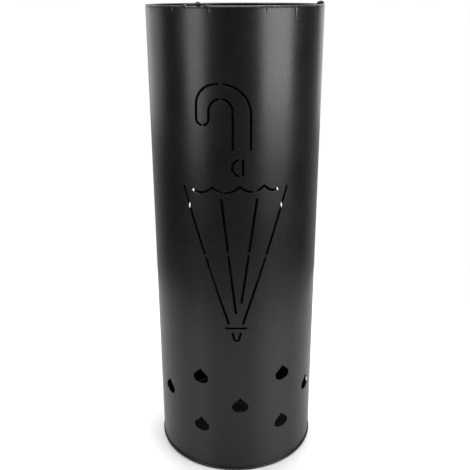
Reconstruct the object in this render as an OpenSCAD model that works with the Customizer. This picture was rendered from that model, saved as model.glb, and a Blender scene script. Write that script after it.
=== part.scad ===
// Round sheet-metal umbrella stand with a cut-out umbrella and rain drops,
// a wired rim with two strap hooks, and a lift-out drip tray.
// +Z is up. The origin is on the floor, on the axis of the tube. The seam is at the back (+Y).

/* [Body] */
// Outside diameter of the tube
body_d = 180; // [170:1:200]
// Height of the tube, from the bottom seam to the top of the rim
body_h = 501; // [480:1:560]
// Thickness of the steel sheet
sheet_t = 0.6; // [0.5:0.1:0.8]
// Width of the lap where the rolled sheet is welded to itself
lap_w = 8; // [6:1:10]
// Angle of the lap around the tube, from the front
lap_angle = 168.7; // [166:0.1:171]

/* [Rim] */
// Diameter of the wire inside the rolled rim
rim_wire_d = 1.6; // [1.4:0.1:1.8]
// Gap between the wire and the sheet rolled over it
rim_gap = 0.05; // [0.02:0.01:0.08]
// How far the rolled rim stands out from the tube
rim_proud = 0.3; // [0.2:0.1:0.5]
// Length of each notch that bares the rim wire
notch_w = 17; // [14:1:20]
// How far the middle of each notch is to the left of its hook
notch_shift = 2.5; // [0:0.5:4]
// Depth of each notch below the place where the rim begins to roll
notch_depth = 0.2; // [0.1:0.1:0.4]

/* [Umbrella cut-out] */
// Number of umbrellas around the tube
umbrella_count = 3; // [1:1:3]
// Width of every slot
slot_w = 2.6; // [2:0.1:3]

/* [Rain drops] */
// Number of single drops, and of pairs of drops, around the tube
drop_count = 6; // [3:1:6]
// Width of a drop
drop_w = 18.2; // [16:0.1:19]
// Height of the point above the widest place of a drop
drop_top = 12.7; // [11:0.1:14]
// Depth of the round belly below the widest place of a drop
drop_belly = 7; // [6:0.1:8]
// Height of the widest place of the single drops above the bottom seam
single_drop_z = 84; // [82:1:86]
// Height of the widest place of the low drops
low_drop_z = 54.5; // [52:0.5:57]
// Height of the widest place of the high drops
high_drop_z = 116.5; // [114:0.5:119]

/* [Base] */
// Height of the crimped ring around the bottom edge
seam_h = 3; // [2.5:0.5:4]
// How far the crimped ring stands out from the tube
seam_proud = 1; // [0.8:0.1:1.4]
// Height of the base disc's underside above the ring's bottom
base_recess = 3; // [2.5:0.5:4]

/* [Feet] */
// Diameter of a foot pad
pad_d = 18; // [14:1:22]
// How far the pads stand below the ring
pad_proud = 1; // [0.5:0.5:2]
// Distance from the axis to the middle of a pad
pad_reach = 70; // [60:1:74]

/* [Drip tray] */
// Outside diameter of the tray's rim
tray_d = 167; // [150:1:167]
// Height of the tray
tray_h = 16; // [12:1:24]
// Wall thickness of the tray
tray_wall = 1.6; // [1.2:0.1:2]
// Number of raised rings on the tray's floor
tray_rings = 3; // [1:1:4]

/* [Hooks] */
// Diameter of the hook wire
hook_wire_d = 3.5; // [2.5:0.5:3.5]
// Inside radius of the bend that hangs on the rim wire
hook_bend_r = 1.5; // [1.3:0.1:1.6]
// Angle at which the bend ends, above the outer side of the rim wire
hook_end_angle = 50; // [45:5:60]
// Drop from the rim wire to the middle of the lower bend
hook_drop = 32; // [25:1:45]
// Radius of the lower bend, to the middle of the wire
hook_throat_r = 7; // [6:0.5:8]
// Length of the upturned end
hook_lip = 9; // [6:1:14]
// Angle of the left hook around the tube, from the front
hook_left_angle = -22; // [-24:1:-20]
// Angle of the right hook around the tube, from the front
hook_right_angle = 98; // [96:1:100]

/* [Hidden] */
$fn = 96;

body_r = body_d / 2;
inner_r = body_r - sheet_t;
degrees_per_mm = 180 / (PI * body_r);
seam_z = pad_proud;
rim_z = seam_z + body_h;

// The rolled rim: a small tube of sheet around the wire.
wire_r = rim_wire_d / 2;
curl_in_r = wire_r + rim_gap;
curl_r = curl_in_r + sheet_t;
curl_x = body_r + rim_proud - curl_r;
curl_z = rim_z - curl_r;
wall_top_z = curl_z - 0.9;
notch_angle = notch_w * degrees_per_mm;

// The base disc, its crimped ring and the feet.
ring_r = body_r + seam_proud;
ring_gap = 0.1;
disc_z = seam_z + base_recess;
disc_top_z = disc_z + sheet_t;
wall_foot_z = seam_z + sheet_t + ring_gap;
pad_top_z = disc_z;

// The tray stands on the base disc.
tray_r = tray_d / 2;
tray_z = disc_top_z + 0.1;
tray_lip = 2.4;
tray_foot_r = tray_r - tray_lip - 1.5;
tray_ring_pitch = 18;
tray_ring_w = 2;
tray_ring_h = 0.8;

// A hook hangs on the rim wire; its shank runs down inside the tube.
hook_r = hook_wire_d / 2;
hook_turn_r = hook_bend_r + hook_r;
shank_x = curl_x - hook_turn_r;
hook_swell = 0.04;

// Umbrella: places are [distance around the tube, height above the seam].
// The handle points up and is a crook; the closed canopy hangs below it.
crook_tip = [-31.9, 400.5];
crook_tip_r = 6.3;
crook_left = [-18.6, 413];
crook_left_r = 19.5;
crook_right = [-14, 404];
crook_right_r = 28.7;
crook_inner = [-14, 407.5];
crook_inner_r = 11.5;
shaft_bottom_z = 371;
strap = [5.2, 353.6];
strap_r = 8.3;
strap_bar_x = 7.3;
strap_bar_z = [346.3, 361.3];
hem_x = [-49, -23, 4.2, 28.6, 49.5];
hem_z = [333.5, 333.5, 335, 335.3, 335.3];
hem_sag = 5.7;
hem_slots = [[-45, -23, -15], [-9.8, 4.2, 16.6], [21.8, 28.6, 44]];
outer_rib = [[54, 331.5], [7.5, 186.5]];
outer_rib_parts = [[0, 0.475], [0.5, 1]];
left_rib = [[-14.1, 321.5], [0, 199]];
left_rib_parts = [[0, 0.445], [0.486, 1]];
right_rib = [[21.3, 321.5], [5.8, 210.5]];
right_rib_parts = [[0, 0.49], [0.535, 1]];
ferrule_bar = [[-10.3, 181.1], [11, 180.8]];
ferrule = [0.8, 169.3];
ferrule_r = 2.9;
ferrule_top_z = 175;
ferrule_spread = 4.2;

single_drop_x = 4.5;
pair_drop_x = -40;
belly_power = 2.4;
cut_depth = 32;

// ---- Outlines ----

function arc(centre, r, from, to, steps) =
    [for (i = [0:steps]) let (a = from + (to - from) * i / steps) centre + r * [cos(a), sin(a)]];

function between(line, from, to, steps) =
    [for (i = [0:steps]) let (t = from + (to - from) * i / steps) line[0] + t * (line[1] - line[0])];

function mirrored(line) = [for (p = line) [-p[0], p[1]]];

function unit(v) = v / norm(v);

// Sideways direction of a path at one of its points, lengthened at a corner so the slot keeps its width.
function side(path, i) =
    let (
        last = len(path) - 1,
        before = unit(path[max(i, 1)] - path[max(i, 1) - 1]),
        after = unit(path[min(i + 1, last)] - path[min(i + 1, last) - 1]),
        middle = unit(before + after)
    ) [-middle[1], middle[0]] / (middle * before);

function round_end(centre, outward, r) =
    let (a = atan2(outward[1], outward[0]))
    [for (i = [1:5]) centre + r * [cos(a + 90 - 30 * i), sin(a + 90 - 30 * i)]];

// Closed outline of a slot of one width with round ends, along a path.
function slot_outline(path, w) =
    let (last = len(path) - 1, r = w / 2)
    concat(
        [for (i = [0:last]) path[i] + r * side(path, i)],
        round_end(path[last], path[last] - path[last - 1], r),
        [for (i = [last:-1:0]) path[i] - r * side(path, i)],
        round_end(path[0], path[0] - path[1], r)
    );

// Wraps an outline from the flat sheet on to the tube, seen from the front.
function wrapped(outline) = [for (p = outline) [body_r * sin(p[0] * degrees_per_mm), p[1]]];

// Height of the canopy's hem, which hangs in a curve between its points.
function hem_height(x, k) =
    let (t = (x - hem_x[k]) / (hem_x[k + 1] - hem_x[k]))
    hem_z[k] + t * (hem_z[k + 1] - hem_z[k]) - 4 * hem_sag * t * (1 - t);

function hem_run(from, to, k, steps) =
    [for (i = [0:steps]) let (x = from + (to - from) * i / steps) [x, hem_height(x, k)]];

function hem_path(slot, k) =
    concat(
        hem_run(slot[0], slot[1], k, 6),
        [for (p = hem_run(slot[1], slot[2], k + 1, 5)) if (p[0] > slot[1]) p]
    );

umbrella_paths = concat(
    [
        concat(
            arc(crook_tip, crook_tip_r, 255, 180, 4),
            arc(crook_left, crook_left_r, 180, 84, 10)
        ),
        concat(
            arc(crook_right, crook_right_r, 84, 0, 10),
            [[crook_right[0] + crook_right_r, shaft_bottom_z]]
        ),
        concat(
            arc(crook_tip, crook_tip_r, 285, 360, 4),
            arc(crook_inner, crook_inner_r, 180, 100, 7)
        ),
        concat(
            arc(crook_inner, crook_inner_r, 80, 0, 7),
            [[crook_inner[0] + crook_inner_r, shaft_bottom_z]]
        ),
        arc(strap, strap_r, 108, 252, 9),
        [[strap_bar_x, strap_bar_z[1]], [strap_bar_x, strap_bar_z[0]]],
        ferrule_bar,
        concat(
            [[ferrule[0] - ferrule_spread, ferrule_top_z]],
            arc(ferrule, ferrule_r, 190, 350, 6),
            [[ferrule[0] + ferrule_spread, ferrule_top_z]]
        )
    ],
    [for (k = [0:2]) hem_path(hem_slots[k], k)],
    [for (part = outer_rib_parts) between(outer_rib, part[0], part[1], 3)],
    [for (part = outer_rib_parts) between(mirrored(outer_rib), part[0], part[1], 3)],
    [for (part = left_rib_parts) between(left_rib, part[0], part[1], 2)],
    [for (part = right_rib_parts) between(right_rib, part[0], part[1], 2)]
);

// Half the width of a drop: a full belly below, and a curve that runs to a point above.
function belly_side(a) = [
    drop_w / 2 * pow(cos(a), 2 / belly_power),
    -drop_belly * pow(sin(a), 2 / belly_power)
];
function point_side(t) = [drop_w / 4 * (1 + cos(180 * pow(t, 1.1))), drop_top * t];

drop_side = concat(
    [for (i = [0:6]) belly_side(90 - 15 * i)],
    [for (i = [1:9]) point_side(i / 10)]
);
drop_outline = concat(
    drop_side,
    [[0, drop_top]],
    [for (i = [len(drop_side) - 1:-1:1]) [-drop_side[i][0], drop_side[i][1]]]
);

// ---- Cutters ----

// Pushes a flat outline out through the front of the tube.
module cut_through(outline) {
    translate([0, -body_r - 2 + cut_depth, seam_z])
        rotate([90, 0, 0])
            linear_extrude(height = cut_depth)
                polygon(outline);
}

module umbrella_cut() {
    for (path = umbrella_paths)
        cut_through(wrapped(slot_outline(path, slot_w)));
}

module drop_cut(around, height) {
    rotate([0, 0, around * degrees_per_mm])
        translate([0, 0, height])
            cut_through(drop_outline);
}

module notch_cut(hook_angle) {
    rotate([0, 0, hook_angle - 90 - notch_shift * degrees_per_mm - notch_angle / 2])
        rotate_extrude(angle = notch_angle)
            translate([curl_x - 3, wall_top_z - notch_depth])
                square([6, 6]);
}

// ---- Sub-parts ----

// Rolled steel tube: lapped and welded at the back, with its top edge rolled round the wire.
module wall_shell() {
    color([0.10, 0.10, 0.105])
        difference() {
            rotate([0, 0, lap_angle - 90]) {
                rotate_extrude($fn = 180)
                    translate([inner_r, wall_foot_z])
                        square([sheet_t, wall_top_z - wall_foot_z]);
                rotate_extrude($fn = 180)
                    translate([curl_x, curl_z])
                        difference() {
                            circle(r = curl_r, $fn = 48);
                            circle(r = curl_in_r, $fn = 48);
                        }
                rotate([0, 0, -lap_w * degrees_per_mm / 2])
                    rotate_extrude(angle = lap_w * degrees_per_mm)
                        translate([inner_r - sheet_t, disc_top_z + 0.4])
                            square([sheet_t + 0.1, wall_top_z - disc_top_z - 6]);
            }
            for (k = [0:umbrella_count - 1])
                rotate([0, 0, 360 * k / umbrella_count])
                    umbrella_cut();
            for (k = [0:drop_count - 1])
                rotate([0, 0, 360 * k / drop_count]) {
                    // The single drop that would fall beside the welded lap is left out.
                    if (k != floor(drop_count / 2))
                        drop_cut(single_drop_x, single_drop_z);
                    drop_cut(pair_drop_x, low_drop_z);
                    drop_cut(pair_drop_x, high_drop_z);
                }
            for (hook_angle = [hook_left_angle, hook_right_angle])
                notch_cut(hook_angle);
        }
}

// Steel wire ring that stiffens the rim, bare only in the notches.
module rim_wire() {
    color([0.30, 0.30, 0.31])
        rotate_extrude($fn = 180)
            translate([curl_x, curl_z])
                circle(r = wire_r, $fn = 48);
}

// Base disc: its edge is folded down, under the tube and up round the outside.
module base_plate() {
    color([0.09, 0.09, 0.095])
        rotate_extrude($fn = 180)
            polygon([
                [0, disc_z], [inner_r - ring_gap - sheet_t, disc_z],
                [inner_r - ring_gap - sheet_t, seam_z], [ring_r - 0.4, seam_z],
                [ring_r, seam_z + 0.4], [ring_r, seam_z + seam_h],
                [body_r + ring_gap, seam_z + seam_h], [body_r + ring_gap, wall_foot_z - ring_gap],
                [inner_r - ring_gap, wall_foot_z - ring_gap], [inner_r - ring_gap, disc_top_z],
                [0, disc_top_z]
            ]);
}

// Moulded tray that stands loose on the base disc and catches the drips.
module drip_tray() {
    color([0.07, 0.07, 0.07])
        rotate_extrude($fn = 180) {
            polygon([
                [0, tray_z], [tray_foot_r, tray_z],
                [tray_r - tray_lip, tray_z + tray_h - tray_wall],
                [tray_r, tray_z + tray_h - tray_wall], [tray_r, tray_z + tray_h],
                [tray_r - tray_lip - tray_wall, tray_z + tray_h],
                [tray_foot_r - tray_wall, tray_z + tray_wall], [0, tray_z + tray_wall]
            ]);
            for (k = [1:tray_rings])
                translate([k * tray_ring_pitch, tray_z + tray_wall - 0.1])
                    square([tray_ring_w, tray_ring_h + 0.1]);
        }
}

// One round end or joint of the hook wire, a hair thicker than the wire.
module wire_ball() {
    sphere(r = hook_r + hook_swell, $fn = 48);
}

// A bend in the hook wire, in the XY plane.
module wire_bend(r, angle) {
    rotate_extrude(angle = angle)
        translate([r, 0])
            circle(r = hook_r, $fn = 48);
}

// Bent wire hook: the top bend hangs on the rim wire, and the lower bend lies flat
// against the wall, so that the tray can be lifted past it.
module strap_hook(angle) {
    throat_z = curl_z - hook_drop;
    lip_y = 2 * hook_throat_r;
    rotate([0, 0, angle - 90]) {
        translate([curl_x, 0, curl_z])
            rotate([90, 0, 0])
                rotate([0, 0, hook_end_angle]) {
                    wire_bend(hook_turn_r, 180 - hook_end_angle);
                    translate([hook_turn_r, 0, 0])
                        wire_ball();
                }
        translate([shank_x, 0, curl_z])
            wire_ball();
        translate([shank_x, 0, throat_z])
            cylinder(r = hook_r, h = hook_drop, $fn = 48);
        translate([shank_x, 0, throat_z])
            wire_ball();
        translate([shank_x, hook_throat_r, throat_z])
            rotate([90, 0, 90])
                rotate([0, 0, 180])
                    wire_bend(hook_throat_r, 180);
        translate([shank_x, lip_y, throat_z])
            wire_ball();
        translate([shank_x, lip_y, throat_z])
            cylinder(r = hook_r, h = hook_lip, $fn = 48);
        translate([shank_x, lip_y, throat_z + hook_lip])
            wire_ball();
    }
}

module hook_left() {
    color([0.12, 0.12, 0.125]) strap_hook(hook_left_angle);
}

module hook_right() {
    color([0.12, 0.12, 0.125]) strap_hook(hook_right_angle);
}

// Stick-on foam pad under the base disc.
module foot_pad(angle) {
    color([0.05, 0.05, 0.05])
        rotate([0, 0, angle - 90])
            translate([pad_reach, 0, 0])
                cylinder(d = pad_d, h = pad_top_z);
}

wall_shell();
rim_wire();
base_plate();
drip_tray();
hook_left();
hook_right();
foot_pad(45);  // foot_pad_front_right
foot_pad(135);  // foot_pad_back_right
foot_pad(225);  // foot_pad_back_left
foot_pad(315);  // foot_pad_front_left
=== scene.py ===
import math

import bpy
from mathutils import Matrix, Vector


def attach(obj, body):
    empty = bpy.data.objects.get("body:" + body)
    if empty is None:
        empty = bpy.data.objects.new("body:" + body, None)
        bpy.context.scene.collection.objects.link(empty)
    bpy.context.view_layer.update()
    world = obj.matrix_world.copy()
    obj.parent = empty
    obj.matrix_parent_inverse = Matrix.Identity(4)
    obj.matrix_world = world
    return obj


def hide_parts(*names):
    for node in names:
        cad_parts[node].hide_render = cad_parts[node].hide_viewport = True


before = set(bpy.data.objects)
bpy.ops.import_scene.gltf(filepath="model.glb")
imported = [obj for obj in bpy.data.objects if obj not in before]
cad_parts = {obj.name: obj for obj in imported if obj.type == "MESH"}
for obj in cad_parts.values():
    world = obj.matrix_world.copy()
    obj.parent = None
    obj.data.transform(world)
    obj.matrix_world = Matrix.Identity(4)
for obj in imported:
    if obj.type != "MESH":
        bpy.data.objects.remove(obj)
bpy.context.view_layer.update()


# ---- Camera and studio ----
# A pale floor, with soft boxes at the front: a narrow one to the left and a wide one to the right.
# Two more stand behind the stand and one hangs overhead. The camera is a little above the rim.

camera_place = (0.0, -0.708, 0.514)
camera_pitch = math.radians(-20.2)
camera_roll = math.radians(0.165)
camera_lens = 50.75

camera_data = bpy.data.cameras.new("camera")
camera_data.lens = camera_lens
camera_data.sensor_width = 36
camera = bpy.data.objects.new("camera", camera_data)
camera.location = camera_place
camera.rotation_euler = (math.pi / 2 + camera_pitch, camera_roll, 0)
bpy.context.scene.collection.objects.link(camera)
bpy.context.scene.camera = camera


def soft_box(name, around, distance, height, width, tall, power):
    """An area light that stands around degrees from the front and faces the stand."""
    data = bpy.data.lights.new(name, "AREA")
    data.shape = "RECTANGLE"
    data.size = width
    data.size_y = tall
    data.energy = power
    lamp = bpy.data.objects.new(name, data)
    a = math.radians(around)
    lamp.location = (distance * math.sin(a), -distance * math.cos(a), height)
    aim = Vector((0, 0, 0.3)) - lamp.location
    lamp.rotation_euler = aim.to_track_quat("-Z", "Y").to_euler()
    bpy.context.scene.collection.objects.link(lamp)
    return lamp


soft_box("left_strip", -50.5, 1.6, 0.78, 0.7, 1.5, 16)
soft_box("right_box", 54, 1.6, 0.78, 1.28, 1.5, 42)
soft_box("back_left", -129, 1.9, 0.75, 1.9, 1.5, 9)
soft_box("back_right", 152, 1.9, 0.7, 1.2, 1.4, 5)
soft_box("overhead", 180, 0.5, 2.1, 1.6, 1.6, 60)

# The camera sees a white room. What lights the stand is pale behind it and overhead,
# and dark behind the camera.
room_dark = 0.05
room_behind = 0.43
room_overhead = 0.4

world = bpy.data.worlds.new("studio")
world.use_nodes = True
bpy.context.scene.world = world
room = world.node_tree
room_light = room.nodes["Background"]
direction = room.nodes.new("ShaderNodeTexCoord")
split = room.nodes.new("ShaderNodeSeparateXYZ")
room.links.new(direction.outputs["Generated"], split.inputs[0])
behind = room.nodes.new("ShaderNodeMapRange")
behind.interpolation_type = "SMOOTHSTEP"
behind.inputs["From Min"].default_value = 0.25
behind.inputs["From Max"].default_value = 0.85
behind.inputs["To Min"].default_value = room_dark
behind.inputs["To Max"].default_value = room_behind
room.links.new(split.outputs["Y"], behind.inputs["Value"])
above = room.nodes.new("ShaderNodeMapRange")
above.interpolation_type = "SMOOTHSTEP"
above.inputs["From Min"].default_value = 0.3
above.inputs["From Max"].default_value = 0.9
above.inputs["To Max"].default_value = room_overhead
room.links.new(split.outputs["Z"], above.inputs["Value"])
both = room.nodes.new("ShaderNodeMath")
both.operation = "ADD"
room.links.new(behind.outputs["Result"], both.inputs[0])
room.links.new(above.outputs["Result"], both.inputs[1])
seen = room.nodes.new("ShaderNodeLightPath")
backdrop = room.nodes.new("ShaderNodeMix")
backdrop.inputs["B"].default_value = 1.0
room.links.new(seen.outputs["Is Camera Ray"], backdrop.inputs["Factor"])
room.links.new(both.outputs[0], backdrop.inputs["A"])
room.links.new(backdrop.outputs["Result"], room_light.inputs["Strength"])
room_light.inputs["Color"].default_value = (1, 1, 1, 1)
bpy.context.scene.view_settings.view_transform = "Standard"

# The floor looks lighter to the camera than it does in the reflections on the stand.
floor_r = 0.52
floor_tone_lit = (0.43, 0.43, 0.43, 1)
floor_tone_seen = (0.72, 0.72, 0.72, 1)

bpy.ops.object.select_all(action="DESELECT")
bpy.ops.mesh.primitive_circle_add(vertices=128, radius=floor_r, fill_type="NGON")
floor = bpy.context.object
floor.name = "floor"
floor_paint = bpy.data.materials.new("floor_paint")
floor_paint.use_nodes = True
floor_nodes = floor_paint.node_tree
floor_shader = floor_nodes.nodes["Principled BSDF"]
floor_shader.inputs["Roughness"].default_value = 0.4
floor_shader.inputs["Specular IOR Level"].default_value = 0.8
floor_seen = floor_nodes.nodes.new("ShaderNodeLightPath")
floor_tone = floor_nodes.nodes.new("ShaderNodeMix")
floor_tone.data_type = "RGBA"
floor_tone.inputs[6].default_value = floor_tone_lit
floor_tone.inputs[7].default_value = floor_tone_seen
floor_nodes.links.new(floor_seen.outputs["Is Camera Ray"], floor_tone.inputs[0])
floor_nodes.links.new(floor_tone.outputs[2], floor_shader.inputs["Base Color"])
floor.data.materials.append(floor_paint)


# ---- Wall shell ----
# One sheet of 0.6 mm steel. It is cut flat, its top edge is rolled to take the rim wire,
# and then it is rolled into a tube and lapped at the back, and powder-coated satin black.
# Sizes here are in millimetres, with heights counted from the bottom of the base ring.

tube_r = 90.0
sheet_t = 0.6
ring_lift = 1.0
sheet_foot = 0.7
sheet_top = 498.65
curl_in = 1.15
curl_height = 499.55
curl_sweep = 308
curl_steps = 16
curl_start_in = 0.68
curl_start_down = 0.51
around = 2 * math.pi * tube_r
lap_at = math.radians(168.7) * tube_r
lap_w = 8.0
joggle_w = 7.0
column = 2.5
flap_cut_back = 12
slot_w = 2.6
kerf_round = 0.1


def per_degree(angle):
    return math.radians(angle) * tube_r


def arc(centre, r, start, end, steps):
    angles = [math.radians(start + (end - start) * i / steps) for i in range(steps + 1)]
    return [(centre[0] + r * math.cos(a), centre[1] + r * math.sin(a)) for a in angles]


def along(line, start, end, steps):
    (x0, z0), (x1, z1) = line
    shares = [start + (end - start) * i / steps for i in range(steps + 1)]
    return [(x0 + t * (x1 - x0), z0 + t * (z1 - z0)) for t in shares]


def slot_outline(path, w):
    """Closed outline of a slot of one width with round ends, along a path."""
    points = [Vector(p) for p in path]
    steps = [(b - a).normalized() for a, b in zip(points, points[1:])]
    left, right = [], []
    for i, p in enumerate(points):
        before, after = steps[max(i - 1, 0)], steps[min(i, len(steps) - 1)]
        middle = (before + after).normalized()
        side = Vector((-middle.y, middle.x)) / middle.dot(before) * w / 2
        left.append(p + side)
        right.append(p - side)

    def cap(centre, outward):
        a = math.atan2(outward.y, outward.x)
        turns = [a + math.pi / 2 - math.pi / 8 * i for i in range(1, 8)]
        return [centre + Vector((math.cos(t), math.sin(t))) * w / 2 for t in turns]

    return left + cap(points[-1], steps[-1]) + right[::-1] + cap(points[0], -steps[0])


# The umbrella hangs point down: a crook handle, a strap, the canopy's hem, its ribs and the ferrule.
crook_tip, crook_tip_r = (-31.9, 400.5), 6.3
crook_left, crook_left_r = (-18.6, 413), 19.5
crook_right, crook_right_r = (-14, 404), 28.7
crook_inner, crook_inner_r = (-14, 407.5), 11.5
shaft_bottom = 371
hem_x = (-49, -23, 4.2, 28.6, 49.5)
hem_z = (333.5, 333.5, 335, 335.3, 335.3)
hem_sag = 5.7
hem_slots = ((-45, -23, -15), (-9.8, 4.2, 16.6), (21.8, 28.6, 44))
outer_rib = ((54, 331.5), (7.5, 186.5))
left_rib = ((-14.1, 321.5), (0, 199))
right_rib = ((21.3, 321.5), (5.8, 210.5))
ferrule, ferrule_r, ferrule_top = (0.8, 169.3), 2.9, 175


def hem_run(start, end, k, steps):
    points = []
    for i in range(steps + 1):
        x = start + (end - start) * i / steps
        t = (x - hem_x[k]) / (hem_x[k + 1] - hem_x[k])
        points.append((x, hem_z[k] + t * (hem_z[k + 1] - hem_z[k]) - 4 * hem_sag * t * (1 - t)))
    return points


umbrella_paths = [
    arc(crook_tip, crook_tip_r, 255, 180, 6) + arc(crook_left, crook_left_r, 180, 84, 16),
    arc(crook_right, crook_right_r, 84, 0, 18) + [(crook_right[0] + crook_right_r, shaft_bottom)],
    arc(crook_tip, crook_tip_r, 285, 360, 6) + arc(crook_inner, crook_inner_r, 180, 100, 12),
    arc(crook_inner, crook_inner_r, 80, 0, 12) + [(crook_inner[0] + crook_inner_r, shaft_bottom)],
    arc((5.2, 353.6), 8.3, 108, 252, 14),
    [(7.3, 361.3), (7.3, 346.3)],
    [(-10.3, 181.1), (11, 180.8)],
    [(-3.4, ferrule_top)] + arc(ferrule, ferrule_r, 190, 350, 10) + [(5, ferrule_top)],
]
for k, (start, cusp, end) in enumerate(hem_slots):
    umbrella_paths.append(hem_run(start, cusp, k, 10) + hem_run(cusp, end, k + 1, 8)[1:])
for start, end in ((0, 0.475), (0.5, 1)):
    umbrella_paths.append(along(outer_rib, start, end, 1))
    umbrella_paths.append([(-x, z) for x, z in along(outer_rib, start, end, 1)])
for start, end in ((0, 0.445), (0.486, 1)):
    umbrella_paths.append(along(left_rib, start, end, 1))
for start, end in ((0, 0.49), (0.535, 1)):
    umbrella_paths.append(along(right_rib, start, end, 1))

# Rain drops: a full belly below the widest place, and a curve that runs to a point above it.
# The single drop that would fall beside the welded lap is left out.
drop_half = 9.1
drop_top = 12.7
drop_belly = 7.0
belly_power = 2.4
drop_count = 6
single_drop_x, single_drop_z = 4.5, 84.0
pair_drop_x, low_drop_z, high_drop_z = -40, 54.5, 116.5
drop_places = [(single_drop_x + around / drop_count * k, single_drop_z) for k in range(-2, 3)]
for k in range(-2, 4):
    x = pair_drop_x + around / drop_count * k
    drop_places += [(x, low_drop_z), (x, high_drop_z)]

belly = [
    (
        drop_half * math.cos(math.radians(a)) ** (2 / belly_power),
        -drop_belly * math.sin(math.radians(a)) ** (2 / belly_power),
    )
    for a in (90, 82, 72, 60, 48, 36, 24, 12, 4, 0)
]
point = [
    (drop_half / 2 * (1 + math.cos(math.pi * (i / 16) ** 1.1)), drop_top * i / 16)
    for i in range(1, 16)
]
drop_side = belly + point
drop_outline = drop_side + [(0, drop_top)] + [(-x, z) for x, z in drop_side[:0:-1]]

sheet_start = lap_at - around
flap_end = lap_at + lap_w
flap_top = sheet_top - flap_cut_back
sheet_outline = [
    (sheet_start, sheet_foot), (flap_end, sheet_foot), (flap_end, flap_top),
    (lap_at, flap_top), (lap_at, sheet_top), (sheet_start, sheet_top),
]
umbrella_count = 3
cut_outlines = []
for k in (-1, 0, 1):
    for path in umbrella_paths:
        moved = [(x + around / umbrella_count * k, z) for x, z in path]
        cut_outlines.append(slot_outline(moved, slot_w))
for x0, z0 in drop_places:
    cut_outlines.append([(x0 + x, z0 + z) for x, z in drop_outline])


def only(obj):
    """Makes obj the one selected and active object."""
    bpy.ops.object.select_all(action="DESELECT")
    obj.select_set(True)
    bpy.context.view_layer.objects.active = obj


def pick(obj, parts, test):
    """Opens obj in edit mode with only those faces or edges selected that pass the test."""
    bpy.ops.object.mode_set(mode="EDIT")
    bpy.ops.mesh.select_mode(type=parts)
    bpy.ops.mesh.select_all(action="DESELECT")
    bpy.ops.object.mode_set(mode="OBJECT")
    for part in (obj.data.polygons if parts == "FACE" else obj.data.edges):
        part.select = test(part)
    bpy.ops.object.mode_set(mode="EDIT")


flat = bpy.data.curves.new("sheet_blank", "CURVE")
flat.dimensions = "2D"
flat.fill_mode = "BOTH"
for outline in [sheet_outline] + cut_outlines:
    spline = flat.splines.new("POLY")
    spline.points.add(len(outline) - 1)
    for spot, p in zip(spline.points, outline):
        spot.co = (p[0], p[1], 0, 1)
    spline.use_cyclic_u = True
wall = bpy.data.objects.new("wall_sheet", flat)
bpy.context.scene.collection.objects.link(wall)
only(wall)
bpy.ops.object.convert(target="MESH")
wall = bpy.context.object
wall.rotation_euler = (math.pi / 2, 0, 0)
bpy.ops.object.transform_apply(rotation=True)
if wall.data.polygons[0].normal.y > 0:
    bpy.ops.object.mode_set(mode="EDIT")
    bpy.ops.mesh.select_all(action="SELECT")
    bpy.ops.mesh.flip_normals()
    bpy.ops.object.mode_set(mode="OBJECT")

thick = wall.modifiers.new("thickness", "SOLIDIFY")
thick.thickness = sheet_t
thick.offset = -1
bpy.ops.object.modifier_apply(modifier=thick.name)

# The punch leaves a small round along each cut on the outside.
side_normals = {}
for face in wall.data.polygons:
    for key in face.edge_keys:
        side_normals.setdefault(key, []).append(face.normal.y)


def outer_cut_edge(edge):
    a, b = (wall.data.vertices[i].co for i in edge.vertices)
    normals = side_normals[tuple(sorted(edge.vertices))]
    on_top = min(a.z, b.z) > sheet_top - 0.01
    return not on_top and min(normals) < -0.9 and max(normals) > -0.1


pick(wall, "EDGE", outer_cut_edge)
bpy.ops.mesh.bevel(offset=kerf_round, segments=2, affect="EDGES", clamp_overlap=False)
bpy.ops.mesh.select_all(action="SELECT")
bpy.ops.mesh.dissolve_limited(angle_limit=math.radians(0.5))

# Narrow columns let the sheet roll up smoothly; closer ones take the notches and the creases.
notch_w = 17.0
notch_shift = -2.5
notch_turns = (-22, 98)
notch_middles = [per_degree(a) + notch_shift for a in notch_turns]
notches = [(middle - notch_w / 2, middle + notch_w / 2) for middle in notch_middles]
creases = [
    (per_degree(-160), 0.2, 5), (per_degree(-139), 0.26, 8), (per_degree(-121), 0.2, 5),
    (per_degree(-99), 0.24, 6), (per_degree(-80), 0.2, 5), (per_degree(-61), 0.26, 8),
    (per_degree(-39.8), 0.24, 6), (per_degree(-15.2), 0.26, 4.5), (per_degree(-2.1), 0.22, 4.5),
    (per_degree(17.8), 0.26, 4), (per_degree(38.2), 0.32, 9), (per_degree(59.1), 0.28, 9),
    (per_degree(79), 0.2, 5), (per_degree(118), 0.24, 6), (per_degree(137), 0.2, 5),
    (per_degree(157), 0.26, 8),
]
notch_steps = (0, 0.5, 1, 1.6, 2.3, 3, 4, 5)
crease_steps = (-1.3, -0.7, -0.3, 0.1, 0.5, 1.1)
columns = [sheet_start + column * i for i in range(1, int((flap_end - sheet_start) / column))]
for start, end in notches:
    columns += [start - d for d in notch_steps]
    columns += [end + d for d in notch_steps]
for x, depth, length in creases:
    columns += [x + step for step in crease_steps]
for x in sorted(columns):
    bpy.ops.mesh.select_all(action="SELECT")
    bpy.ops.mesh.bisect(plane_co=(x, 0, 0), plane_no=(1, 0, 0), threshold=0.00001)
for below in (0.9, 2.2, 4, 7, 12.01):
    bpy.ops.mesh.select_all(action="SELECT")
    bpy.ops.mesh.bisect(plane_co=(0, 0, sheet_top - below), plane_no=(0, 0, 1), threshold=0.00001)

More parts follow.
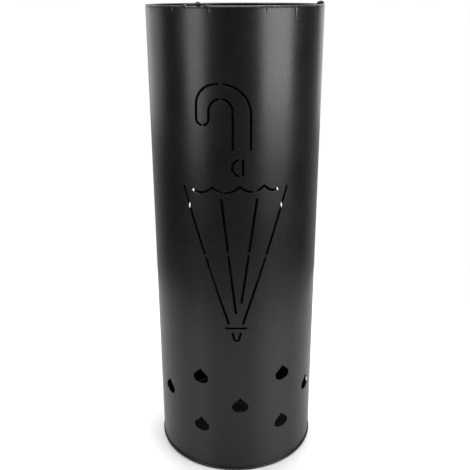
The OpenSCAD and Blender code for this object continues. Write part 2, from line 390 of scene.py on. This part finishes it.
# Spot welds hold the lap. Each leaves a small round dent in both sheets.
weld_columns = (sheet_start + lap_w / 2, lap_at + lap_w / 2)
weld_first = 22
weld_pitch = 45.5
weld_count = 11
weld_heights = [weld_first + weld_pitch * i for i in range(weld_count)]
weld_dent = 0.2
weld_lip = 0.05
weld_steps = (-4, -3.2, -2.6, -2, -1.4, -0.7, 0, 0.7, 1.4, 2, 2.6, 3.2, 4)
for weld_x in weld_columns:
    pick(wall, "FACE", lambda face: abs(face.center.x - weld_x) < 5)
    bpy.ops.mesh.hide(unselected=True)
    cuts = [((weld_x + step, 0, 0), (1, 0, 0)) for step in weld_steps]
    cuts += [((0, 0, z + step), (0, 0, 1)) for z in weld_heights for step in weld_steps]
    for place, facing in cuts:
        bpy.ops.mesh.select_all(action="SELECT")
        bpy.ops.mesh.bisect(plane_co=place, plane_no=facing, threshold=0.00001)
    bpy.ops.mesh.reveal(select=False)


def rim_face(face):
    x = face.center.x
    in_notch = any(start < x < end for start, end in notches)
    return face.normal.z > 0.9 and face.center.z > sheet_top - 0.01 and not in_notch


pick(wall, "FACE", rim_face)
bpy.ops.object.mode_set(mode="OBJECT")
for i in {i for face in wall.data.polygons if face.select for i in face.vertices}:
    v = wall.data.vertices[i]
    if v.co.y > sheet_t / 2:
        v.co.y = curl_in - curl_start_in
        v.co.z = curl_height - curl_start_down
bpy.ops.object.mode_set(mode="EDIT")
bpy.ops.mesh.spin(
    steps=curl_steps, angle=math.radians(-curl_sweep), center=(0, curl_in, curl_height), axis=(1, 0, 0)
)
bpy.ops.object.mode_set(mode="OBJECT")


def ease(t):
    t = min(max(t, 0), 1)
    return t * t * (3 - 2 * t)


# The rolled rim opens a little beside each notch, and has a small crease wherever the roller bit.
# The same pass steps the under layer of the lap inwards and presses the weld dents.
for v in wall.data.vertices:
    x, y, z = v.co
    rolled = ease((z - sheet_top) / 0.6)
    for start, end in notches:
        d = start - x if x < (start + end) / 2 else x - end
        if 0 <= d < 6 and rolled > 0:
            lift = 0.75 * math.exp(-((d - 2.8) / 1.5) ** 2) - 0.9 * (1 - ease(d / 1.8))
            v.co.z += lift * ease((z - curl_height + 1) / 2.4)
            v.co.y -= 0.25 * math.exp(-((d - 2.0) / 1.5) ** 2) * rolled
    for at, depth, length in creases:
        d = x - at
        if abs(d) < 1.8 and z > sheet_top - length:
            bite = math.exp(-(d / 0.55) ** 2)
            fade = ease((z - sheet_top + length) / length)
            v.co.y += (1.5 if y < curl_in else -0.5) * depth * bite * rolled
            v.co.y += depth * math.exp(-((d - 0.1) / 0.6) ** 2) * fade * (1 - rolled)
    under = ease((x - lap_at + joggle_w) / joggle_w) * ease((sheet_top - z) / 11)
    v.co.y += (sheet_t + 0.05) * under
    for weld_x in weld_columns:
        d = min(math.hypot(x - weld_x, z - weld_z) for weld_z in weld_heights)
        if d < 4.5:
            dent = weld_dent * (1 - ease((d - 0.9) / 1.3))
            v.co.y += dent - weld_lip * math.exp(-((d - 2.7) / 0.6) ** 2)

only(wall)
roll = wall.modifiers.new("roll", "SIMPLE_DEFORM")
roll.deform_method = "BEND"
roll.deform_axis = "Z"
roll.angle = (flap_end - sheet_start) / tube_r
bpy.ops.object.modifier_apply(modifier=roll.name)
wall.location = (0, -tube_r * 0.001, ring_lift * 0.001)
wall.scale = (0.001, 0.001, 0.001)
bpy.ops.object.transform_apply(location=True, rotation=True, scale=True)
bpy.ops.object.shade_smooth_by_angle(angle=math.radians(35))

# On the plain rolled stretches the surface is a true cylinder, so its shading is made exact.
corner_normals = [Vector(c.vector) for c in wall.data.corner_normals]
for face in wall.data.polygons:
    outwards = Vector((face.center.x, face.center.y, 0)).normalized()
    facing = face.normal.dot(outwards)
    if abs(facing) > math.cos(math.radians(1)):
        for i in face.loop_indices:
            co = wall.data.vertices[wall.data.loops[i].vertex_index].co
            corner_normals[i] = Vector((co.x, co.y, 0)).normalized() * math.copysign(1, facing)
wall.data.normals_split_custom_set(corner_normals)


def start_material(name):
    """A new material, with functions that add a node and that set or link the shader's inputs."""
    made = bpy.data.materials.new(name)
    made.use_nodes = True
    tree = made.node_tree

    def join(node, inputs):
        for key, value in inputs.items():
            if isinstance(value, bpy.types.NodeSocket):
                tree.links.new(value, node.inputs[key])
            else:
                node.inputs[key].default_value = value
        return node

    def add(kind, inputs, **settings):
        node = tree.nodes.new("ShaderNode" + kind)
        for key, value in settings.items():
            setattr(node, key, value)
        return join(node, inputs)

    def finish(inputs):
        join(tree.nodes["Principled BSDF"], inputs)

    return made, add, finish


def grey(level):
    """A black finish's colour: a neutral grey, a hair towards blue."""
    return (level, level, level * 1.04, 1)


def between(add, value, start, end, low, high):
    """Carries a value from one range to another, held at both ends."""
    inputs = {"Value": value, "From Min": start, "From Max": end, "To Min": low, "To Max": high}
    return add("MapRange", inputs).outputs["Result"]


def coated_steel(name, tone, gloss, wear_and_highlight_heights, wear_and_highlight_share):
    """Powder coat: cloudy in tone and gloss, with orange peel, and painted paler in a band of heights:
    wear, and on the wall's rim also a painted highlight.
    """
    made, add, finish = start_material(name)
    place = add("TexCoord", {}).outputs["Object"]
    cloud = add("TexNoise", {"Vector": place, "Scale": 14, "Detail": 6, "Roughness": 0.62}).outputs["Fac"]
    speck = add("TexNoise", {"Vector": place, "Scale": 620, "Detail": 3}).outputs["Fac"]
    shade = between(add, cloud, 0.3, 0.7, 0, 1)
    base = add("Mix", {0: shade, 6: grey(tone[0]), 7: grey(tone[1])}, data_type="RGBA").outputs[2]

    # Paler paint in a band of heights and in random patches. This is wear, and where the band is the wall's
    # rolled rim it is also a painted highlight along the bead.
    height = add("SeparateXYZ", {"Vector": place}).outputs["Z"]
    near = between(add, height, wear_and_highlight_heights[0], wear_and_highlight_heights[1], 0, wear_and_highlight_share)
    rubbing = add("TexNoise", {"Vector": place, "Scale": 240, "Detail": 7, "Roughness": 0.7}).outputs["Fac"]
    reach = add("Math", {0: rubbing, 1: near}, operation="ADD").outputs[0]
    paler_share = between(add, reach, 0.78, 0.95, 0, 0.55)
    colour = add("Mix", {0: paler_share, 6: base, 7: grey(0.085)}, data_type="RGBA").outputs[2]

    dull = between(add, cloud, 0.3, 0.72, gloss[0], gloss[1])
    speckle = between(add, speck, 0.35, 0.65, -0.02, 0.02)
    rough = add("Math", {0: dull, 1: speckle}, operation="ADD").outputs[0]

    peel = add("TexNoise", {"Vector": place, "Scale": 720, "Detail": 1.5}).outputs["Fac"]
    grain = add("TexNoise", {"Vector": place, "Scale": 3600, "Detail": 1}).outputs["Fac"]
    first = add("Bump", {"Strength": 1, "Distance": 0.000014, "Height": peel}).outputs["Normal"]
    second = add("Bump", {"Strength": 1, "Distance": 0.000004, "Height": grain, "Normal": first})
    finish({"Base Color": colour, "Roughness": rough, "Specular IOR Level": 0.4,
            "Normal": second.outputs["Normal"]})
    return made


coat_tone = (0.005, 0.008)
wall_gloss = (0.26, 0.33)
# The wall's band is its rolled rim. The paler paint there is partly wear and partly a painted highlight on
# the bead.
rim_wear_and_highlight = (0.4985, 0.5022)
wall.data.materials.append(coated_steel("wall_powder_coat", coat_tone, wall_gloss, rim_wear_and_highlight, 0.3))
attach(wall, "stand")
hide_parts("wall_shell")


# ---- Rim wire ----
# A ring of 1.6 mm steel wire inside the rolled rim. The rim is rolled round it,
# so it shows only in the two notches, where the hooks hang on it.

rim_wire_r = 0.0008
rim_wire_ring = 0.08885
rim_wire_z = 0.50055

bpy.ops.object.select_all(action="DESELECT")
bpy.ops.mesh.primitive_circle_add(
    vertices=16, radius=rim_wire_r, location=(rim_wire_ring, 0, rim_wire_z), rotation=(math.pi / 2, 0, 0)
)
ring_wire = bpy.context.object
ring_wire.name = "rim_wire_ring"
bpy.ops.object.transform_apply(location=True, rotation=True)
bpy.ops.object.mode_set(mode="EDIT")
bpy.ops.mesh.select_all(action="SELECT")
bpy.ops.mesh.spin(steps=300, angle=2 * math.pi, center=(0, 0, 0), axis=(0, 0, 1))
bpy.ops.mesh.select_all(action="SELECT")
bpy.ops.mesh.remove_doubles(threshold=0.000005)
bpy.ops.mesh.normals_make_consistent(inside=False)
bpy.ops.object.mode_set(mode="OBJECT")
bpy.ops.object.shade_smooth()


def drawn_wire(name, tone, gloss, streak):
    """Coated wire: thin paint over drawn steel, with rubbed paler patches."""
    made, add, finish = start_material(name)
    place = add("TexCoord", {}).outputs["Object"]
    rubbing = add("TexNoise", {"Vector": place, "Scale": 260, "Detail": 6, "Roughness": 0.7}).outputs["Fac"]
    paler_share = between(add, rubbing, 0.52, 0.75, 0, streak)
    colour = add("Mix", {0: paler_share, 6: grey(tone[0]), 7: grey(tone[1])}, data_type="RGBA").outputs[2]
    rough = between(add, rubbing, 0.3, 0.7, gloss[0], gloss[1])
    grain = add("TexNoise", {"Vector": place, "Scale": 2600, "Detail": 2}).outputs["Fac"]
    bump = add("Bump", {"Strength": 1, "Distance": 0.000008, "Height": grain}).outputs["Normal"]
    finish({"Base Color": colour, "Roughness": rough, "Specular IOR Level": 0.3, "Normal": bump})
    return made


ring_wire.data.materials.append(drawn_wire("rim_wire_coat", (0.03, 0.12), (0.28, 0.42), 0.7))
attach(ring_wire, "stand")
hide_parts("rim_wire")


# ---- Base plate ----
# A disc of the same sheet steel. Its edge is turned down, under the tube's foot
# and up round the outside, and crimped, so it shows as a thin ring at the bottom.

ring_r = 0.091
ring_foot = 0.001
ring_top = 0.004
groove_outer_r = 0.0901
groove_inner_r = 0.0893
groove_floor = 0.0016
disc_top = 0.0046
recess_r = 0.0887
recess_top = 0.004
bead_r = 0.062
bead_w = 0.004
bead_slope = 0.0009
bead_h = 0.0006


def flat_face(obj, height, reach):
    """Opens obj in edit mode with only the face selected that lies at a height and within reach."""
    def lies(face):
        spans = abs(face.center.x) + abs(face.center.y) < 0.00002
        level = abs(face.center.z - height) < 0.00002 and abs(face.normal.z) > 0.9
        return spans and level and max(obj.data.vertices[i].co.x for i in face.vertices) < reach
    pick(obj, "FACE", lies)


def step_in(inset, rise):
    """Insets the selected round face and then pushes the middle up or down."""
    bpy.ops.mesh.inset(thickness=inset)
    if rise:
        bpy.ops.mesh.extrude_region_move(TRANSFORM_OT_translate={"value": (0, 0, rise)})


def press_bead(from_r):
    """Sinks a shallow round groove into the selected disc face, which stiffens the sheet."""
    step_in(from_r - bead_r - bead_w / 2, 0)
    bpy.ops.mesh.inset(thickness=bead_slope)
    bpy.ops.transform.translate(value=(0, 0, -bead_h))
    bpy.ops.mesh.inset(thickness=bead_w - 2 * bead_slope)
    bpy.ops.mesh.inset(thickness=bead_slope)
    bpy.ops.transform.translate(value=(0, 0, bead_h))


bpy.ops.object.select_all(action="DESELECT")
bpy.ops.mesh.primitive_cylinder_add(
    vertices=256, radius=ring_r, depth=ring_top - ring_foot, location=(0, 0, (ring_top + ring_foot) / 2)
)
base = bpy.context.object
base.name = "base_disc"
bpy.ops.object.transform_apply(location=True)
flat_face(base, ring_foot, 1)
step_in(ring_r - recess_r, recess_top - ring_foot)
press_bead(recess_r)
flat_face(base, ring_top, 1)
step_in(ring_r - groove_outer_r, groove_floor - ring_top)
step_in(groove_outer_r - groove_inner_r, disc_top - groove_floor)
press_bead(groove_inner_r)
bpy.ops.object.mode_set(mode="OBJECT")


def soften(obj, width, segments, angle=30):
    """Rounds every edge of obj that turns by more than an angle."""
    only(obj)
    bevel = obj.modifiers.new("rounding", "BEVEL")
    bevel.width = width
    bevel.segments = segments
    bevel.limit_method = "ANGLE"
    bevel.angle_limit = math.radians(angle)
    bevel.use_clamp_overlap = True
    bpy.ops.object.modifier_apply(modifier=bevel.name)
    bpy.ops.object.shade_smooth_by_angle(angle=math.radians(40))


# The crimping rollers leave the ring a little uneven all the way round.
for v in base.data.vertices:
    if v.co.xy.length > groove_outer_r - 0.0001:
        turn = math.atan2(v.co.y, v.co.x)
        wave = math.sin(turn * 23) + 0.6 * math.sin(turn * 41 + 1)
        v.co.xy *= 1 + 0.00018 * wave
        if v.co.z > ring_top - 0.0001:
            v.co.z += 0.00007 * wave
soften(base, 0.00035, 3)
base_gloss = (0.26, 0.34)
base_rubbed = (0.0024, 0.001)
base.data.materials.append(coated_steel("base_powder_coat", coat_tone, base_gloss, base_rubbed, 0.3))
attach(base, "stand")
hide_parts("base_plate")


# ---- Drip tray ----
# A moulded black plastic tray that stands loose on the base disc, with a turned-out rim,
# three raised rings to hold umbrella tips, and a foot ring. It lifts straight out.

tray_foot = 0.0047
tray_top = 0.0207
tray_foot_r = 0.0796
tray_neck_r = 0.0811
tray_rim_r = 0.0835
tray_wall = 0.0016
tray_ribs = (0.056, 0.038, 0.020)
rib_w = 0.002
rib_h = 0.0008
gate_r = 0.004

bpy.ops.object.select_all(action="DESELECT")
side_h = tray_top - tray_wall - tray_foot
bpy.ops.mesh.primitive_cylinder_add(
    vertices=224, radius=tray_foot_r, depth=side_h, location=(0, 0, tray_foot + side_h / 2)
)
tray = bpy.context.object
tray.name = "tray_moulding"
bpy.ops.object.transform_apply(location=True)
flat_face(tray, tray_top - tray_wall, 1)
widen = tray_neck_r / tray_foot_r
bpy.ops.transform.resize(value=(widen, widen, 1))
bpy.ops.mesh.extrude_region_move(TRANSFORM_OT_translate={"value": (0, 0, 0)})
widen = tray_rim_r / tray_neck_r
bpy.ops.transform.resize(value=(widen, widen, 1))
bpy.ops.mesh.extrude_region_move(TRANSFORM_OT_translate={"value": (0, 0, tray_wall)})
mouth_r = tray_neck_r - tray_wall
step_in(tray_rim_r - mouth_r, tray_foot + tray_wall - tray_top)
tray_floor_r = tray_foot_r - tray_wall
narrow = tray_floor_r / mouth_r
bpy.ops.transform.resize(value=(narrow, narrow, 1))
reached = tray_floor_r
for rib_r in tray_ribs:
    step_in(reached - rib_r, rib_h)
    step_in(rib_w, -rib_h)
    reached = rib_r - rib_w
step_in(reached - gate_r, 0.0003)
step_in(gate_r - 0.0012, 0.0004)
flat_face(tray, tray_foot, 1)
step_in(0.004, 0.0005)
bpy.ops.object.mode_set(mode="OBJECT")
soften(tray, 0.00028, 2, 25)


def moulded_plastic():
    """Black polypropylene: spark-eroded texture, with faint cloudy water marks."""
    made, add, finish = start_material("tray_plastic_black")
    place = add("TexCoord", {}).outputs["Object"]
    cloud = add("TexNoise", {"Vector": place, "Scale": 26, "Detail": 6, "Roughness": 0.6}).outputs["Fac"]
    mark = between(add, cloud, 0.42, 0.75, 0, 1)
    colour = add("Mix", {0: mark, 6: grey(0.004), 7: grey(0.009)}, data_type="RGBA").outputs[2]
    rough = between(add, cloud, 0.3, 0.7, 0.46, 0.62)
    pits = add("TexVoronoi", {"Vector": place, "Scale": 1700}).outputs["Distance"]
    bump = add("Bump", {"Strength": 0.8, "Distance": 0.00003, "Height": pits}).outputs["Normal"]
    finish({"Base Color": colour, "Roughness": rough, "Specular IOR Level": 0.2, "Normal": bump})
    return made


tray.data.materials.append(moulded_plastic())
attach(tray, "tray")
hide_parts("drip_tray")


# ---- Strap hooks ----
# Two hooks of 3.5 mm wire, bent cold and coated black. Each hangs on the bared rim wire
# inside the tube, and its lower bend takes an umbrella's wrist strap. The right one has
# slipped down until its arch rests on the wire.

hook_wire_r = 0.00175
hook_turn_r = 0.00325
hook_drop = 0.032
hook_throat_r = 0.007
hook_lip = 0.009
hook_over = 130
shank_x = rim_wire_ring - hook_turn_r
throat_z = rim_wire_z - hook_drop
hook_turns = {"left": -22, "right": 98}
hook_slips = {"left": 0, "right": 0.00065}


def dome_end():
    """Rounds off the selected end face of a wire."""
    for inset, rise in ((0.25, 0.42), (0.32, 0.3), (0.45, 0.16)):
        bpy.ops.mesh.inset(thickness=inset * hook_wire_r, depth=rise * hook_wire_r)


def end_face(obj, lowest):
    """Opens obj in edit mode with one round end selected: the lowest or the highest."""
    ends = [f for f in obj.data.polygons if len(f.vertices) > 4]
    wanted = (min if lowest else max)(ends, key=lambda f: f.center.z).index
    pick(obj, "FACE", lambda face: face.index == wanted)


def drawn_hook(name):
    bpy.ops.object.select_all(action="DESELECT")
    bpy.ops.mesh.primitive_cylinder_add(
        vertices=20, radius=hook_wire_r, depth=hook_drop, location=(shank_x, 0, rim_wire_z - hook_drop / 2)
    )
    hook = bpy.context.object
    hook.name = name
    bpy.ops.object.transform_apply(location=True)
    end_face(hook, False)
    bpy.ops.mesh.spin(
        steps=22, angle=-math.radians(hook_over), center=(rim_wire_ring, 0, rim_wire_z), axis=(0, 1, 0)
    )
    dome_end()
    bpy.ops.object.mode_set(mode="OBJECT")
    end_face(hook, True)
    bpy.ops.mesh.spin(
        steps=28, angle=-math.pi, center=(shank_x, hook_throat_r, throat_z), axis=(1, 0, 0)
    )
    bpy.ops.mesh.extrude_region_move(TRANSFORM_OT_translate={"value": (0, 0, hook_lip)})
    dome_end()
    bpy.ops.mesh.select_all(action="SELECT")
    bpy.ops.mesh.remove_doubles(threshold=0.000002)
    bpy.ops.mesh.normals_make_consistent(inside=False)
    bpy.ops.object.mode_set(mode="OBJECT")
    return hook


hook_paint = drawn_wire("hook_coat_black", (0.006, 0.035), (0.28, 0.4), 0.5)
for side, turn in hook_turns.items():
    hook = drawn_hook("strap_hook_" + side)
    hook.rotation_euler = (0, 0, math.radians(turn - 90))
    hook.location = (0, 0, -hook_slips[side])
    bpy.ops.object.transform_apply(location=True, rotation=True)
    bpy.ops.object.shade_smooth()
    hook.data.materials.append(hook_paint)
    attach(hook, side + "_hook")
    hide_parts("hook_" + side)


# ---- Foot pads ----
# Four stick-on pads of closed-cell foam rubber under the base disc, pressed a little
# by the weight. Each has a thin film of adhesive on top.

pad_r = 0.009
pad_film = 0.0002
pad_reach = 0.070
pad_bulge = 0.02
pad_turns = {"front_right": 45, "back_right": 135, "back_left": 225, "front_left": 315}


def foam_rubber():
    """Matt black foam with fine pores and a little grey dust."""
    made, add, finish = start_material("pad_foam_black")
    place = add("TexCoord", {}).outputs["Object"]
    dust = add("TexNoise", {"Vector": place, "Scale": 420, "Detail": 5}).outputs["Fac"]
    share = between(add, dust, 0.5, 0.75, 0, 0.6)
    colour = add("Mix", {0: share, 6: grey(0.012), 7: grey(0.06)}, data_type="RGBA").outputs[2]
    pores = add("TexVoronoi", {"Vector": place, "Scale": 2400}).outputs["Distance"]
    bump = add("Bump", {"Strength": 1, "Distance": 0.00012, "Height": pores}).outputs["Normal"]
    finish({"Base Color": colour, "Roughness": between(add, dust, 0.3, 0.7, 0.82, 0.95), "Normal": bump})
    return made


foam = foam_rubber()
pad_h = recess_top - pad_film
for place, turn in pad_turns.items():
    a = math.radians(turn)
    bpy.ops.object.select_all(action="DESELECT")
    bpy.ops.mesh.primitive_cylinder_add(
        vertices=64, radius=pad_r, depth=pad_h,
        location=(pad_reach * math.sin(a), -pad_reach * math.cos(a), pad_h / 2)
    )
    pad = bpy.context.object
    pad.name = "foot_pad_foam_" + place
    bpy.ops.object.mode_set(mode="EDIT")
    for share in (0.2, 0.4, 0.6, 0.8):
        bpy.ops.mesh.select_all(action="SELECT")
        bpy.ops.mesh.bisect(plane_co=(0, 0, pad_h * share), plane_no=(0, 0, 1))
    bpy.ops.object.mode_set(mode="OBJECT")
    for v in pad.data.vertices:
        share = v.co.z / pad_h + 0.5
        v.co.xy *= 1 - pad_bulge * (1 - 4 * share * (1 - share))
    top = max(face.center.z for face in pad.data.polygons)
    pick(pad, "FACE", lambda face: face.center.z > top - 0.00001)
    step_in(0.0003, pad_film)
    bpy.ops.object.mode_set(mode="OBJECT")
    bpy.ops.object.transform_apply(location=True)
    soften(pad, 0.00035, 3, 50)
    pad.data.materials.append(foam)
    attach(pad, "stand")
    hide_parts("foot_pad_" + place)
